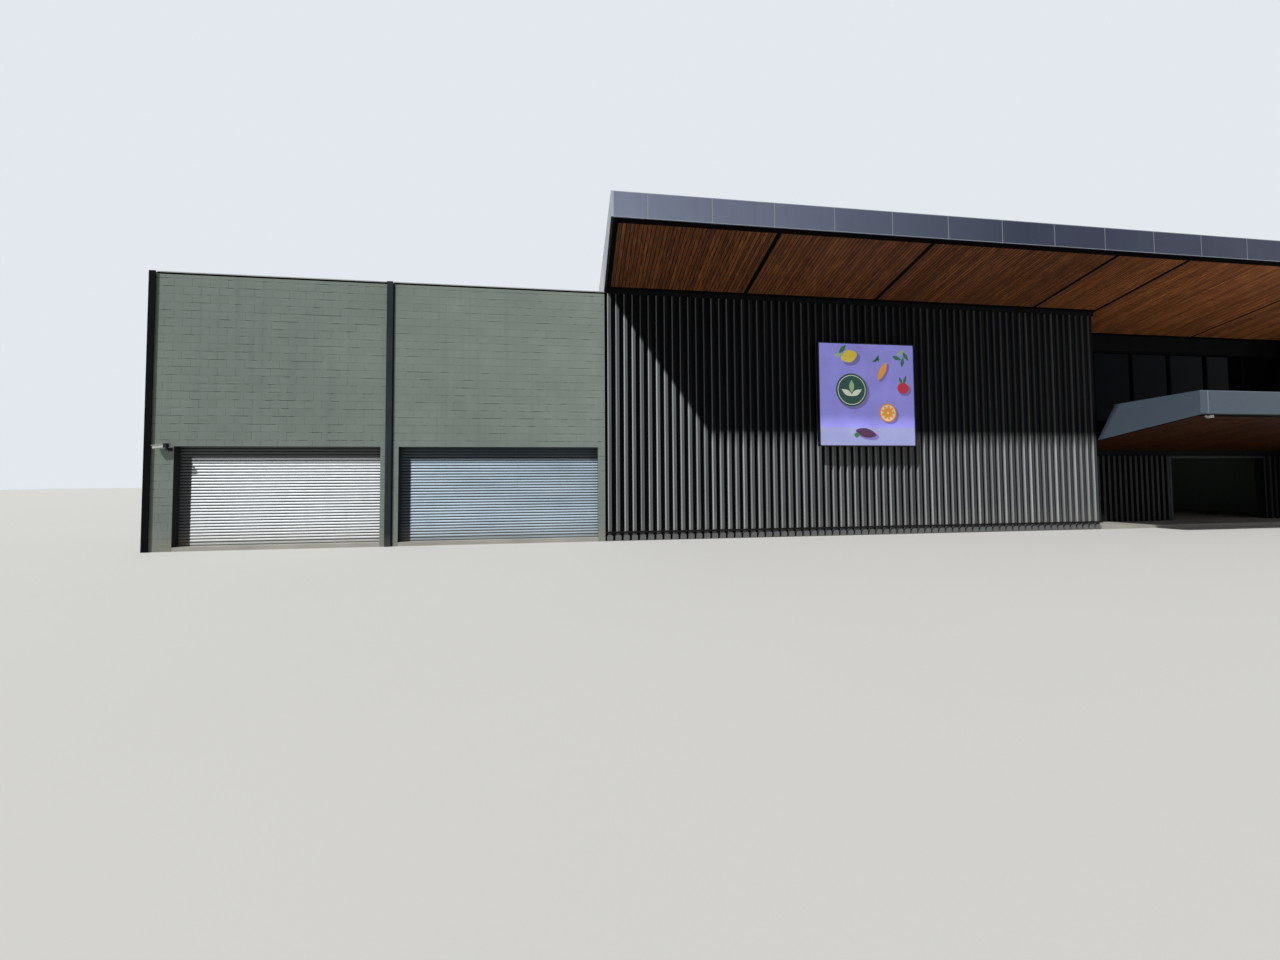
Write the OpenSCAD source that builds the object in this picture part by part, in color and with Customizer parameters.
// Supermarket building: a block-walled store with two roller shutters beside a hall
// with a fin-clad wall, a wide sloping canopy and a recessed entrance under a low canopy.
// Millimetres, +X along the front, +Y into the building, +Z up.
// Inside this file x runs from the left end, y from the front wall and z from the ground.

/* [Plan] */
// Width of the block-walled store on the left
store_w = 11100; // [11000:20:11500]
// Width of the fin-clad wall
fin_wall_w = 15670; // [15400:20:16000]
// Width of the entrance recess
entrance_w = 9600; // [9400:20:9800]
// Width of the fin-clad pier that closes the front on the right
end_pier_w = 1890; // [1500:10:2100]
// Depth of the building behind the front wall
depth = 18000; // [15000:100:22000]
// Depth of the entrance recess behind the front wall
recess_d = 1270; // [1000:10:1600]

/* [Heights] */
// Top of the store's wall coping
store_h = 6860; // [6600:10:7000]
// Top of the hall and of the canopy fascia
hall_h = 8120; // [8000:10:8500]
// Thickness of the floor slab
slab_t = 100; // [60:5:150]
// Distance from the top of the store's coping down to its roof
store_roof_drop = 410; // [350:10:800]
// Distance from the front edge of the large soffit up to the hall's roof
roof_gap = 70; // [50:5:100]
// Thickness of each roof
roof_t = 160; // [120:5:200]

/* [Walls] */
// Thickness of a block wall
wall_t = 190; // [140:5:220]
// Height of the metal coping with the neck under it
coping_t = 60; // [40:5:80]
// Thickness of the coping's cap
coping_cap_t = 20; // [12:2:30]
// Overhang of the coping past each wall face
coping_over = 25; // [10:5:40]
// Open joint between two lengths of coping
coping_joint = 6; // [4:1:10]

/* [Steel columns] */
// Width of the column flanges
col_w = 150; // [120:5:200]
// Distance that the column stands in front of the wall
col_proj = 50; // [40:5:80]
// Thickness of a flange
col_flange_t = 12; // [8:1:16]
// Thickness of the web
col_web_t = 10; // [8:1:14]
// Left edge of the middle column
mid_col_x = 5470; // [5460:5:5490]

/* [Roller shutters] */
// Left edge of the first shutter opening
door_a_x = 620; // [500:10:700]
// Distance from the first opening to the middle column
door_a_side = 130; // [120:5:300]
// Distance from the middle column to the second opening
door_b_in = 160; // [100:5:300]
// Distance from the second opening to the fin wall
door_b_side = 195; // [150:5:400]
// Head of both shutter openings
door_h = 2555; // [2400:5:2800]
// Height of one shutter slat
slat_h = 75; // [60:1:100]
// Depth of a slat's rounded face
slat_bulge = 12; // [6:1:16]
// Thickness of the curtain between slats
slat_t = 8; // [4:1:10]
// Height of the flat joint between two slats
slat_joint = 11; // [8:1:15]
// Width of a side guide channel
guide_w = 70; // [60:5:90]
// Depth of a side guide channel
guide_d = 56; // [50:2:70]
// Thickness of the guide's steel
guide_t = 6; // [4:1:8]
// Height of the bar along the curtain's foot
bottom_bar_h = 80; // [60:5:120]

/* [Fin wall] */
// Width of one fin
fin_w = 96; // [80:2:130]
// Depth of one fin
fin_d = 90; // [60:2:120]
// Distance from one fin to the next, before a row is fitted between its ends
fin_pitch = 226; // [200:2:260]
// Distance from a wall's ends to its first and last fin
fin_margin = 82; // [60:1:90]
// Height of the shoe under each fin
shoe_h = 165; // [120:5:200]
// Distance that a shoe stands out beside its fin
shoe_out = 32; // [20:1:34]
// Height of the flat rail across the feet of the fins
foot_rail_z = 215; // [150:5:300]
// Width of that rail's upright face
foot_rail_h = 45; // [15:1:60]
// Thickness of the foot rail in front of the fins
foot_rail_proj = 30; // [6:1:40]
// Height of the head rail above the fins
head_rail_h = 130; // [80:5:160]

/* [Sign] */
// Side of the square sign
sign_w = 3000; // [2500:10:3300]
// Left edge of the sign, from the fin wall's left end
sign_x = 6085; // [5500:10:6500]
// Underside of the sign
sign_z = 2580; // [2200:10:2900]
// Distance from the fins to the sign's back
sign_gap = 190; // [100:10:300]
// Depth of the sign's frame
sign_d = 110; // [80:5:150]
// Thickness of the sign's face sheet
sign_face_t = 6; // [4:1:10]
// Width of the frame's rim around the face
sign_rim = 28; // [20:2:40]
// Thickness of the sheet that closes the frame's back
sign_back_t = 12; // [8:1:20]
// Side of a square bracket tube behind the sign
bracket_w = 50; // [40:5:60]
// Distance from the sign's edges to its brackets
bracket_in = 400; // [300:20:800]

/* [Large canopy] */
// Overhang of the canopy in front of the wall
canopy_out = 2580; // [2300:10:2800]
// Height of the fascia
fascia_h = 590; // [540:5:620]
// Fall of the soffit for each metre toward the wall
soffit_fall = 225; // [200:5:230]
// Thickness of the soffit boards
soffit_t = 40; // [30:2:50]
// Length of one fascia panel
panel_w = 1500; // [1400:10:1600]
// Open joint between fascia panels
panel_joint = 10; // [6:1:14]
// Thickness of a fascia panel
panel_t = 30; // [20:2:40]
// Thickness of the canopy's side cheek
cheek_t = 60; // [40:5:80]
// Width of the dark strip along the canopy's ends
end_strip_w = 110; // [80:5:200]
// Width of the dark strips along the fascia and the wall
edge_strip_w = 110; // [80:5:150]
// Width of the dark strips across the soffit
cross_strip_w = 90; // [60:5:110]
// Distance from one dark strip across the soffit to the next
strip_step = 4025; // [3900:5:4200]
// Distance from the third cross strip to the recess
strip_side = 2260; // [1900:10:2400]

/* [Low canopy] */
// Overhang of the low canopy in front of the wall
low_out = 2500; // [2400:10:2570]
// Underside of the low fascia
low_fascia_z = 3300; // [3200:10:3350]
// Height of the low fascia
low_fascia_h = 640; // [560:5:700]
// Width of the narrow panel at each end of the low fascia
low_end_w = 215; // [150:5:260]
// Number of wide panels between them
low_panel_n = 3; // [2:1:5]
// Fall of the low canopy's soffit for each metre toward the wall
low_soffit_fall = 190; // [180:5:200]
// Distance from the wall back to where the low canopy's top ends
low_back_in = 500; // [400:10:600]
// Fall of the low canopy's top toward the wall
low_top_fall = 60; // [40:5:100]
// Thickness of the low canopy's sheets
low_t = 40; // [30:2:50]
// Width of the dark strip behind the low fascia
low_strip_w = 110; // [80:5:150]
// Width of the dark strips beside the low canopy's cheeks
low_side_strip_w = 50; // [40:5:80]

/* [Entrance] */
// Distance from the doorway to the recess's right end
doorway_side = 950; // [800:10:1200]
// Width of the doorway
doorway_w = 4200; // [4000:10:4300]
// Distance from the low soffit's back edge down to the head of the doorway
doorway_drop = 204; // [160:2:300]
// Width of the steel frame round the doorway
door_frame_w = 80; // [60:5:100]
// Distance that this frame stands in front of the wall beside it
door_frame_proj = 45; // [30:5:60]
// Height of the dark band between the upper glazing and the soffit
glazing_band_h = 560; // [450:10:700]
// Number of panes in the upper glazing
pane_n = 6; // [5:1:8]
// Width of a glazing bar
bar_w = 60; // [40:5:80]
// Depth of a glazing bar
bar_d = 120; // [100:5:150]
// Thickness of the glass
glass_t = 12; // [8:1:20]

/* [Small fittings] */
// Distance from the wall camera's plate to the first shutter opening
camera_side = 75; // [50:5:120]
// Distance from the opening's head down to the camera's arm
camera_drop = 80; // [40:5:120]
// Side of the camera's square wall plate
camera_plate = 90; // [80:5:100]
// Thickness of the camera's wall plate
camera_plate_t = 12; // [8:1:20]
// Side of the camera's square arm
camera_arm = 36; // [30:2:44]
// Distance from the wall to the middle of the camera's housing
camera_out = 110; // [100:5:140]
// Height of the post from the arm to the housing
camera_rise = 90; // [80:5:120]
// Length of the camera's housing
camera_l = 280; // [240:5:320]
// Width of the camera's housing
camera_w = 90; // [80:2:100]
// Height of the camera's housing
camera_h = 76; // [66:2:90]
// Thickness of the sun shield over the housing
shield_t = 8; // [5:1:12]
// Overhang of the sun shield past the housing
shield_over = 14; // [8:1:20]
// Angle at which the camera looks down
camera_tilt = 8; // [4:1:12]
// Distance from the recess's left end to the spotlight's middle
spot_x = 475; // [420:5:560]
// Distance from the low canopy's front to the spotlight's middle
spot_in = 120; // [120:5:200]
// Diameter of the spotlight under the low canopy
spot_dia = 150; // [110:5:160]
// Height of that spotlight
spot_h = 56; // [50:2:100]
// Width of the spotlight's rim
spot_rim = 14; // [8:1:20]
// Depth of the lens behind that rim
spot_lens = 24; // [16:1:30]
// Diameter of the small sensor beside the spotlight
sensor_dia = 56; // [40:2:60]
// Distance from the spotlight's middle to the sensor's
sensor_side = 130; // [125:5:160]

/* [Hidden] */

// Left ends of the parts of the front, and the right end of the building
fin_x = store_w;
recess_x = fin_x + fin_wall_w;
pier_x = recess_x + entrance_w;
total_w = pier_x + end_pier_w;

// Levels shared by walls and roofs
store_wall_h = store_h - coping_t;
store_roof_z = store_h - store_roof_drop;
hall_wall_h = hall_h - coping_t;
soffit_front_z = hall_h - fascia_h;
soffit_wall_z = soffit_z(0);
roof_under = soffit_front_z + soffit_t + roof_gap;
hall_roof_z = roof_under + roof_t;
backing_y = fin_d;
backing_back = fin_d + wall_t;
rear_y = recess_d;
canopy_front_y = -canopy_out;
glazing_top = soffit_z(rear_y) - glazing_band_h;
doorway_h = low_soffit_z(rear_y) - doorway_drop;
low_front_y = -low_out;
col_back = wall_t + col_flange_t;
front_y = -canopy_out;

// Shutter openings, each between two columns or a column and the fin wall
door_a_w = mid_col_x - door_a_side - door_a_x;
door_b_x = mid_col_x + col_w + door_b_in;
door_b_w = fin_x - door_b_side - door_b_x;

// Faces of the outer walls, which stand in under the outer edges of their copings
left_out = coping_over;
left_in = left_out + wall_t;
right_out = total_w - coping_over;
right_in = right_out - wall_t;
back_out = depth - coping_over;
back_in = back_out - wall_t;

// Distance by which a cut passes the face that it opens
cut = 1;

// Underside of a sloping soffit at a distance from the wall
function soffit_z(y) = soffit_front_z - (y + canopy_out) * soffit_fall / 1000;
function low_soffit_z(y) = low_fascia_z - (y + low_out) * low_soffit_fall / 1000;
// Number of fins on a wall, the even step between them and where each one starts
function fin_span(w) = w - 2 * fin_margin - fin_w;
function fin_count(w) = round(fin_span(w) / fin_pitch) + 1;
function fin_step(w) = fin_span(w) / (fin_count(w) - 1);
function fin_at(w, i) = fin_margin + i * fin_step(w);

// Puts the building's plan centre at the origin
module place() translate([-total_w / 2, -(depth + front_y) / 2, 0]) children();

// A box from one corner to the other
module box(lo, hi) translate(lo) cube(hi - lo);

// A side profile drawn in depth and height, pushed out along the front
module side_profile(x, w, points)
  translate([x, 0, 0]) rotate([90, 0, 90]) linear_extrude(height = w) polygon(points);

// The floor fills the space between the outer walls and runs out into the recess
module floor_slab() color("gray") place() {
  box([left_in, wall_t, 0], [fin_x, back_in, slab_t]);
  box([fin_x, backing_back, 0], [right_in, back_in, slab_t]);
  box([recess_x, 0, 0], [pier_x, back_in, slab_t]);
  box([door_a_x, 0, 0], [door_a_x + door_a_w, back_in, slab_t]);
  box([door_b_x, 0, 0], [door_b_x + door_b_w, back_in, slab_t]);
}

// Steel columns with a proud flange, a web and a back flange
module steel_column(x) translate([x, 0, 0]) {
  box([0, -col_proj, 0], [col_w, col_flange_t - col_proj, store_h]);
  box([col_w / 2 - col_web_t / 2, -col_proj, 0], [col_w / 2 + col_web_t / 2, col_back, store_h]);
  box([0, wall_t, 0], [col_w, col_back, store_h]);
}
module steel_columns() color("darkslategray") place() {
  difference() {
    union() {
      steel_column(0);
      steel_column(mid_col_x);
    }
    box([left_in, wall_t, -cut], [total_w, col_back + cut, slab_t]);
  }
}

// Faces of the two column webs, where the wall bays end
bay_a_x = col_w / 2 + col_web_t / 2;
bay_a_end = mid_col_x + col_w / 2 - col_web_t / 2;
bay_b_x = mid_col_x + col_w / 2 + col_web_t / 2;

module shutter_piers() color("darkseagreen") place() {
  box([bay_a_x, 0, 0], [door_a_x, wall_t, door_h]);
  box([door_a_x + door_a_w, 0, 0], [bay_a_end, wall_t, door_h]);
  box([bay_b_x, 0, 0], [door_b_x, wall_t, door_h]);
  box([door_b_x + door_b_w, 0, 0], [fin_x, wall_t, door_h]);
}

module store_front_wall() color("darkseagreen") place() {
  box([bay_a_x, 0, door_h], [bay_a_end, wall_t, store_wall_h]);
  box([bay_b_x, 0, door_h], [fin_x, wall_t, store_wall_h]);
}

module store_side_wall() color("darkseagreen") place() {
  box([left_out, col_back, 0], [left_in, back_out, store_wall_h]);
  box([col_w, wall_t, 0], [left_in, back_out, store_wall_h]);
}

module store_back_wall() color("darkseagreen") place()
  box([left_in, back_in, 0], [fin_x, back_out, store_wall_h]);

// The store's flat roof lies between its walls and carries the hall's upper wall
module store_roof() color("silver") place() difference() {
  union() {
    box([left_in, wall_t, store_roof_z - roof_t], [fin_x, back_in, store_roof_z]);
    box([fin_x, backing_back, store_roof_z - roof_t], [fin_x + wall_t, back_in, store_roof_z]);
  }
  box([mid_col_x, 0, 0], [mid_col_x + col_w, col_back, store_h]);
}

// Metal copings in straight lengths with open joints: flat caps that overhang a narrow neck
module coping(lo, hi, over_lo, over_hi, top)
  box([lo[0] - over_lo[0], lo[1] - over_lo[1], top - coping_cap_t],
      [hi[0] + over_hi[0], hi[1] + over_hi[1], top]);
over = coping_over;
gap = coping_joint;
module wall_copings() color("silver") place() {
  coping([col_w + gap, 0], [mid_col_x - gap, wall_t], [0, over], [0, over], store_h);
  coping([mid_col_x + col_w + gap, 0], [fin_x, wall_t], [0, over], [0, over], store_h);
  coping([left_out, wall_t + over + gap], [left_in, back_in - over - gap], [over, 0], [over, 0],
    store_h);
  coping([left_out, back_in], [fin_x - gap, back_out], [over, over], [0, over], store_h);
  coping([fin_x, backing_back + gap], [fin_x + wall_t, back_in - over - gap], [0, 0], [over, 0],
    hall_h);
  coping([fin_x, back_in], [right_out, back_out], [0, over], [over, over], hall_h);
  coping([right_in, backing_back + gap], [right_out, back_in - over - gap], [over, 0], [over, 0],
    hall_h);
}

// Dark necks between the top course of blocks and the caps
module neck(lo, hi, top)
  box([lo[0], lo[1], top - coping_t], [hi[0], hi[1], top - coping_cap_t]);
module coping_necks() color("black") place() {
  neck([bay_a_x, 0], [bay_a_end, wall_t], store_h);
  neck([bay_b_x, 0], [fin_x, wall_t], store_h);
  neck([left_out, col_back], [left_in, back_in], store_h);
  neck([left_out, back_in], [fin_x, back_out], store_h);
  neck([fin_x, backing_back], [fin_x + wall_t, back_in], hall_h);
  neck([fin_x, back_in], [right_out, back_out], hall_h);
  neck([right_in, backing_back], [right_out, back_in], hall_h);
}

// Roller shutter curtain: a chain of roll-formed slats with rounded faces
curtain_y = wall_t + guide_d / 2 - slat_t / 2;
curtain_z = slab_t + bottom_bar_h;
curtain_in = guide_w / 2;
slat_n = ceil((door_h - curtain_z) / slat_h) + 1;
slat_steps = 5;
function slat_points() = concat([[curtain_y, curtain_z]],
  [for (i = [0 : slat_n - 1]) for (t = [0 : 1 / slat_steps : 1])
    [curtain_y - slat_bulge * sin(180 * t), curtain_z + i * slat_h + slat_joint + (slat_h - slat_joint) * t]],
  [[curtain_y + slat_t, curtain_z + slat_n * slat_h], [curtain_y + slat_t, curtain_z]]);
module curtain(x, w)
  side_profile(x - curtain_in, w + 2 * curtain_in, slat_points());
module shutter_curtains() color("lightsteelblue") place() {
  curtain(door_a_x, door_a_w);
  curtain(door_b_x, door_b_w);
}

// Steel channels behind the jambs that hold the curtain's ends
module guide(x, side) translate([x, wall_t, slab_t]) mirror([side, 0, 0]) difference() {
  cube([guide_w, guide_d, door_h + guide_w - slab_t]);
  translate([-cut, guide_t, -cut])
    cube([guide_w - guide_t + cut, guide_d - 2 * guide_t, door_h + guide_w]);
}
module shutter_guides() color("slategray") place() {
  guide(door_a_x, 1);
  guide(door_a_x + door_a_w, 0);
  guide(door_b_x, 1);
  guide(door_b_x + door_b_w, 0);
}

module bottom_bar(x, w)
  box([x - curtain_in, curtain_y - slat_bulge / 2, slab_t],
      [x + w + curtain_in, curtain_y + slat_t + slat_bulge / 2, curtain_z]);
module shutter_bottom_bars() color("slategray") place() {
  bottom_bar(door_a_x, door_a_w);
  bottom_bar(door_b_x, door_b_w);
}

// Dark walls behind the fins
module fin_backing_walls() color("black") place() {
  box([fin_x, backing_y, 0], [recess_x, backing_back, soffit_wall_z]);
  box([pier_x, backing_y, 0], [total_w, backing_back, soffit_wall_z]);
}

// Rows of upright fins that stand on shoes under a head rail
fin_head = soffit_wall_z - head_rail_h;
module fin_row(x, w, y, z0, z1)
  for (i = [0 : fin_count(w) - 1])
    box([x + fin_at(w, i), y, z0], [x + fin_at(w, i) + fin_w, y + fin_d, z1]);
module wall_fins() color("gray") place() {
  fin_row(fin_x, fin_wall_w, 0, shoe_h, fin_head);
  fin_row(pier_x, end_pier_w, 0, shoe_h, fin_head);
}

// Wider shoes with bevelled shoulders that carry the fins
shoe_shoulder = shoe_h - shoe_out;
module fin_shoe(x) translate([x, fin_d, 0]) rotate([90, 0, 0]) linear_extrude(height = fin_d)
  polygon([[-shoe_out, 0], [fin_w + shoe_out, 0], [fin_w + shoe_out, shoe_shoulder], [fin_w, shoe_h],
    [0, shoe_h], [-shoe_out, shoe_shoulder]]);
module shoe_row(x, w)
  for (i = [0 : fin_count(w) - 1]) fin_shoe(x + fin_at(w, i));
module fin_shoes() color("dimgray") place() {
  shoe_row(fin_x, fin_wall_w);
  shoe_row(pier_x, end_pier_w);
}

// A flat bar across the feet of the fins and a dark rail over their heads
module fin_rail_pair(x, w) {
  box([x, -foot_rail_proj, foot_rail_z], [x + w, 0, foot_rail_z + foot_rail_h]);
  box([x, 0, fin_head], [x + w, backing_y, soffit_wall_z]);
}
module fin_rails() color("darkslategray") place() {
  fin_rail_pair(fin_x, fin_wall_w);
  fin_rail_pair(pier_x, end_pier_w);
}

// Square sign held in front of the fins on brackets
sign_left = fin_x + sign_x;
sign_back = -sign_gap;
sign_front = sign_back - sign_d;
module sign_frame() color("dimgray") place() difference() {
  box([sign_left, sign_front, sign_z], [sign_left + sign_w, sign_back, sign_z + sign_w]);
  box([sign_left + sign_rim, sign_front - cut, sign_z + sign_rim],
      [sign_left + sign_w - sign_rim, sign_back - sign_back_t, sign_z + sign_w - sign_rim]);
}
module sign_face() color("plum") place()
  box([sign_left + sign_rim, sign_front + sign_face_t, sign_z + sign_rim],
      [sign_left + sign_w - sign_rim, sign_back - sign_back_t, sign_z + sign_w - sign_rim]);

// Square brackets from the middles of two fins to the back of the sign
bracket_step = fin_step(fin_wall_w);
bracket_fin_a = ceil((sign_x + bracket_in - fin_margin) / bracket_step);
bracket_fin_b = floor((sign_x + sign_w - bracket_in - fin_margin - fin_w) / bracket_step);
bracket_side = (fin_w - bracket_w) / 2;
module sign_bracket(x, z)
  box([x + bracket_side, sign_back, z], [x + bracket_side + bracket_w, 0, z + bracket_w]);
module sign_brackets() color("dimgray") place()
  for (i = [bracket_fin_a, bracket_fin_b]) {
    sign_bracket(fin_x + fin_at(fin_wall_w, i), sign_z + bracket_in);
    sign_bracket(fin_x + fin_at(fin_wall_w, i), sign_z + sign_w - bracket_in - bracket_w);
  }

// Side walls of the recess, behind the ends of the fin walls
rear_back = rear_y + wall_t;
module recess_side_walls() color("black") place() {
  box([recess_x - wall_t, backing_back, slab_t], [recess_x, rear_back, roof_under]);
  box([pier_x, backing_back, slab_t], [pier_x + wall_t, rear_back, roof_under]);
}

// Walls on both sides of the doorway at the back of the recess
door_end = pier_x - doorway_side;
door_x = door_end - doorway_w;
beam_z = doorway_h;
beam_top = low_soffit_z(rear_y) + low_t;
module entrance_walls() color("black") place() {
  box([recess_x, rear_y, slab_t], [door_x, rear_back, beam_z]);
  box([door_end, rear_y, slab_t], [pier_x, rear_back, beam_z]);
}
module entrance_fins() color("gray") place() {
  fin_row(recess_x, door_x - recess_x, rear_y - fin_d, slab_t, beam_z);
  fin_row(door_end, pier_x - door_end, rear_y - fin_d, slab_t, beam_z);
}

// Steel frame that lines the doorway
module doorway_frame() color("dimgray") place() difference() {
  box([door_x, rear_y - door_frame_proj, slab_t], [door_end, rear_back, beam_z]);
  box([door_x + door_frame_w, rear_y - door_frame_proj - cut, slab_t - cut],
      [door_end - door_frame_w, rear_back + cut, beam_z - door_frame_w]);
}

// Beam over the doorway, between the lower wall and the upper glazing
module entrance_beam() color("black") place()
  box([recess_x, rear_y, beam_z], [pier_x, rear_back, beam_top]);

// Upper glazing: upright bars with a sill and a head, and one sheet of glass in each bay
bar_y = rear_y + (wall_t - bar_d) / 2;
bar_step = (entrance_w - bar_w) / pane_n;
glass_y = rear_y + wall_t / 2 - glass_t / 2;
module upper_glass() color("steelblue") place()
  for (i = [0 : pane_n - 1])
    box([recess_x + i * bar_step + bar_w, glass_y, beam_top + bar_w],
        [recess_x + (i + 1) * bar_step, glass_y + glass_t, glazing_top - bar_w]);
module glazing_bars() color("darkslategray") place() {
  for (i = [0 : pane_n])
    box([recess_x + i * bar_step, bar_y, beam_top], [recess_x + i * bar_step + bar_w, bar_y + bar_d,
      glazing_top]);
  box([recess_x, bar_y, beam_top], [pier_x, bar_y + bar_d, beam_top + bar_w]);
  box([recess_x, bar_y, glazing_top - bar_w], [pier_x, bar_y + bar_d, glazing_top]);
}
module glazing_head_band() color("black") place()
  box([recess_x, rear_y, glazing_top], [pier_x, rear_back, roof_under]);

// Low canopy over the entrance: a folded wedge whose soffit falls toward the wall
low_fascia_top = low_fascia_z + low_fascia_h;
low_top_back = low_fascia_top - low_top_fall;
low_x = recess_x + low_t;
low_inner_w = entrance_w - 2 * low_t;
low_panel_w = (low_inner_w - 2 * low_end_w) / low_panel_n;
half_joint = panel_joint / 2;
function low_edge(i) = i <= 0 ? 0 : i > low_panel_n + 1 ? low_inner_w
  : low_end_w + (i - 1) * low_panel_w;
module low_canopy_fascia() color("slategray") place()
  for (i = [0 : low_panel_n + 1])
    box([low_x + low_edge(i) + (i == 0 ? 0 : half_joint), low_front_y, low_fascia_z],
        [low_x + low_edge(i + 1) - (i > low_panel_n ? 0 : half_joint), low_front_y + low_t,
         low_fascia_top]);
module low_cheek(x) side_profile(x, low_t, [[low_front_y, low_fascia_z], [0, low_soffit_z(0)],
  [0, low_soffit_z(0) + low_t], [-low_back_in, low_top_back], [low_front_y, low_fascia_top]]);
module low_canopy_cheeks() color("slategray") place() {
  low_cheek(recess_x);
  low_cheek(pier_x - low_t);
}
module low_soffit_plate(x0, x1, y0, y1)
  side_profile(x0, x1 - x0, [[y0, low_soffit_z(y0)], [y1, low_soffit_z(y1)],
    [y1, low_soffit_z(y1) + low_t], [y0, low_soffit_z(y0) + low_t]]);
low_strip_y = low_front_y + low_t + low_strip_w;
low_side_a = recess_x + low_t + low_side_strip_w;
low_side_b = pier_x - low_t - low_side_strip_w;
module low_canopy_soffit() color("sienna") place() {
  low_soffit_plate(low_side_a, low_side_b, low_strip_y, 0);
  low_soffit_plate(recess_x, pier_x, 0, rear_y);
}
low_top_inner = low_fascia_top - low_t;
module low_canopy_top() color("slategray") place()
  side_profile(recess_x + low_t, entrance_w - 2 * low_t, [
    [low_front_y + low_t, low_fascia_top],
    [low_front_y + low_t, low_top_inner],
    [-low_back_in, low_top_back - low_t],
    [-low_back_in, low_top_back]]);
module low_canopy_back() color("slategray") place()
  side_profile(recess_x + low_t, entrance_w - 2 * low_t, [
    [-low_back_in, low_top_back],
    [-low_back_in, low_top_back - low_t],
    [-low_t, low_soffit_z(-low_t) + low_t],
    [0, low_soffit_z(0) + low_t]]);

// Round spotlight under the low canopy's left corner, cut to the soffit's slope
spot_y = low_front_y + spot_in;
spot_top = spot_h + spot_dia * low_soffit_fall / 1000;
module corner_spotlight() color("white") place()
  translate([recess_x + spot_x, spot_y, low_soffit_z(spot_y) - spot_h]) difference() {
    union() {
      cylinder(d = spot_dia, h = spot_top, $fn = 48);
      translate([-sensor_side, 0, spot_h / 2]) cylinder(d = sensor_dia, h = spot_top / 2, $fn = 32);
    }
    translate([0, 0, -cut]) cylinder(d = spot_dia - 2 * spot_rim, h = spot_lens + cut, $fn = 48);
    rotate([-atan(low_soffit_fall / 1000), 0, 0])
      translate([-2 * spot_dia, -2 * spot_dia, spot_h * cos(atan(low_soffit_fall / 1000))])
        cube(4 * spot_dia);
  }

// Large canopy: panels on a carrier, with cheeks at both ends
inner_x = fin_x + cheek_t;
inner_end = total_w - cheek_t;
inner_w = inner_end - inner_x;
panel_n = floor(inner_w / panel_w);
panel_side = (inner_w - (panel_n - 1) * panel_w) / 2;
function panel_edge(i) = i <= 0 ? 0 : i > panel_n ? inner_w : panel_side + (i - 1) * panel_w;
module canopy_fascia_panels() color("dimgray") place()
  for (i = [0 : panel_n])
    box([inner_x + panel_edge(i) + (i == 0 ? 0 : half_joint), canopy_front_y, soffit_front_z],
        [inner_x + panel_edge(i + 1) - (i == panel_n ? 0 : half_joint),
         canopy_front_y + panel_t, hall_h]);
module fascia_carrier() color("black") place()
  box([inner_x, canopy_front_y + panel_t, soffit_front_z],
      [inner_end, canopy_front_y + 2 * panel_t, hall_h - panel_t]);
module canopy_cheek(x) side_profile(x, cheek_t, [[canopy_front_y, soffit_front_z],
  [0, soffit_wall_z], [backing_back, soffit_wall_z], [backing_back, hall_h],
  [canopy_front_y, hall_h]]);
module canopy_cheeks() color("silver") place() {
  canopy_cheek(fin_x);
  canopy_cheek(total_w - cheek_t);
}

// Soffit: board panels between dark strips, all in one sloping plane
soffit_y0 = canopy_front_y + 2 * panel_t;
board_y0 = soffit_y0 + edge_strip_w;
strip_at = [fin_x + strip_step, fin_x + 2 * strip_step, recess_x - strip_side, recess_x,
  pier_x - strip_step, pier_x];
board_ends = concat([inner_x + end_strip_w], strip_at, [inner_end - end_strip_w]);
// Inside the recess a plate runs back to the rear wall, elsewhere it ends at the fin wall
function plate_back(x0, x1) = (x0 >= recess_x && x1 <= pier_x ? rear_y : 0) - edge_strip_w;
module soffit_plate(x0, x1, y0, y1)
  side_profile(x0, x1 - x0, [[y0, soffit_z(y0)], [y1, soffit_z(y1)], [y1, soffit_z(y1) + soffit_t],
    [y0, soffit_z(y0) + soffit_t]]);
half_strip = cross_strip_w / 2;
module canopy_soffit() color("sienna") place()
  for (i = [0 : len(strip_at)])
    soffit_plate(board_ends[i] + (i == 0 ? 0 : half_strip),
      board_ends[i + 1] - (i == len(strip_at) ? 0 : half_strip), board_y0,
      plate_back(board_ends[i], board_ends[i + 1]));
module soffit_cross_strips() color("black") place()
  for (x = strip_at)
    soffit_plate(x - half_strip, x + half_strip, board_y0, plate_back(x - half_strip, x + half_strip));
module soffit_edge_strips() color("black") place() {
  soffit_plate(inner_x, inner_end, soffit_y0, board_y0);
  soffit_plate(inner_x, inner_x + end_strip_w, board_y0, 0);
  soffit_plate(inner_end - end_strip_w, inner_end, board_y0, 0);
  soffit_plate(inner_x + end_strip_w, recess_x, -edge_strip_w, 0);
  soffit_plate(pier_x, inner_end - end_strip_w, -edge_strip_w, 0);
  soffit_plate(recess_x, recess_x + half_strip, -edge_strip_w, rear_y);
  soffit_plate(pier_x - half_strip, pier_x, -edge_strip_w, rear_y);
  soffit_plate(recess_x, pier_x, rear_y - edge_strip_w, rear_y);
  low_soffit_plate(recess_x + low_t, pier_x - low_t, low_front_y + low_t, low_strip_y);
  low_soffit_plate(recess_x + low_t, low_side_a, low_strip_y, 0);
  low_soffit_plate(low_side_b, pier_x - low_t, low_strip_y, 0);
}

// Roof of the hall, which runs out over the canopy
module main_roof() color("silver") place() {
  box([inner_x, soffit_y0, roof_under], [inner_end, backing_back, hall_roof_z]);
  box([fin_x + wall_t, backing_back, roof_under],
      [right_in, back_in, hall_roof_z]);
}
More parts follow.
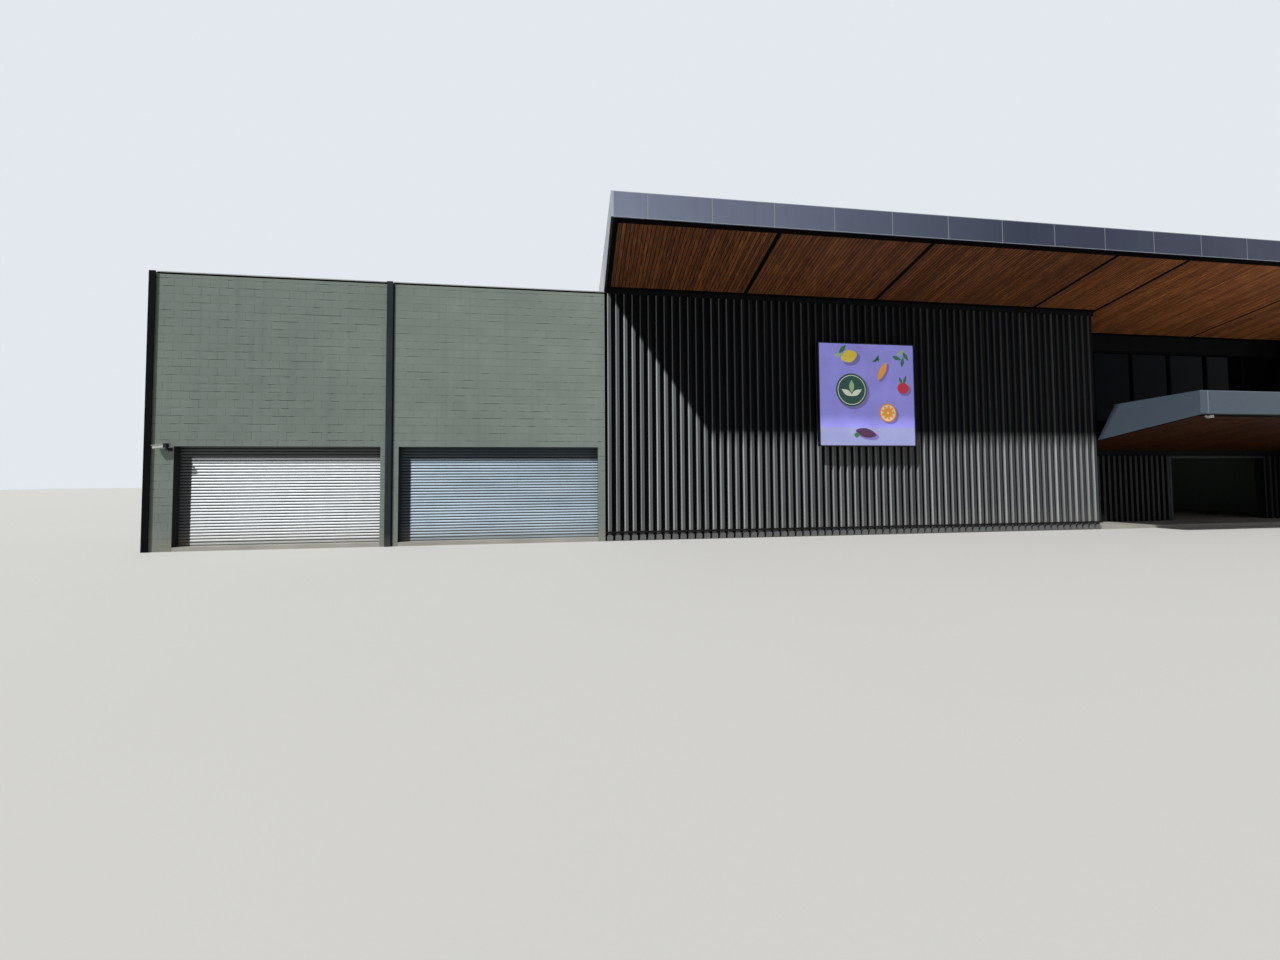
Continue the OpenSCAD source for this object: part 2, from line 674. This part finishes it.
// Beam under the roof's front: it rests on the fin walls and spans the recess above the soffit
module roof_edge_beam() color("black") place() {
  box([inner_x, backing_y, soffit_wall_z + soffit_t], [inner_end, backing_back, roof_under]);
  box([inner_x, backing_y, soffit_wall_z], [recess_x, backing_back, roof_under]);
  box([pier_x, backing_y, soffit_wall_z], [inner_end, backing_back, roof_under]);
}

// Walls of the hall that stand above and behind
module hall_upper_wall() color("silver") place()
  box([fin_x, backing_back, store_roof_z], [fin_x + wall_t, back_in, hall_wall_h]);
module hall_right_wall() color("darkseagreen") place()
  box([right_in, backing_back, 0], [right_out, back_out, hall_wall_h]);
module hall_back_wall() color("darkseagreen") place()
  box([fin_x, back_in, 0], [right_in, back_out, hall_wall_h]);

// Camera beside the first shutter: a wall plate, an arm, a post and a housing under a shield
half_plate = camera_plate / 2;
half_arm = camera_arm / 2;
half_cam_w = camera_w / 2;
half_cam_h = camera_h / 2;
module wall_camera() color("gainsboro") place()
  translate([door_a_x - camera_side, 0, door_h - camera_drop]) {
    box([-half_plate, -camera_plate_t, -half_plate], [half_plate, 0, half_plate]);
    box([-half_arm, -camera_out - half_arm, -half_arm], [half_arm, 0, half_arm]);
    translate([0, -camera_out, 0]) {
      box([-half_arm, -half_arm, 0], [half_arm, half_arm, camera_rise]);
      translate([0, 0, camera_rise]) rotate([0, -camera_tilt, 0]) {
        box([-camera_l, -half_cam_w, -half_cam_h], [half_arm, half_cam_w, half_cam_h]);
        box([-camera_l - shield_over, -half_cam_w - shield_over, half_cam_h],
            [half_arm + shield_over, half_cam_w + shield_over, half_cam_h + shield_t]);
      }
    }
  }

floor_slab();
steel_columns();
shutter_piers();
store_front_wall();
store_side_wall();
store_back_wall();
store_roof();
wall_copings();
coping_necks();
shutter_curtains();
shutter_guides();
shutter_bottom_bars();
fin_backing_walls();
wall_fins();
fin_shoes();
fin_rails();
sign_frame();
sign_face();
sign_brackets();
recess_side_walls();
entrance_walls();
entrance_fins();
doorway_frame();
entrance_beam();
upper_glass();
glazing_bars();
glazing_head_band();
low_canopy_fascia();
low_canopy_cheeks();
low_canopy_soffit();
low_canopy_top();
low_canopy_back();
corner_spotlight();
canopy_fascia_panels();
fascia_carrier();
canopy_cheeks();
canopy_soffit();
soffit_cross_strips();
soffit_edge_strips();
main_roof();
roof_edge_beam();
hall_upper_wall();
hall_right_wall();
hall_back_wall();
wall_camera();
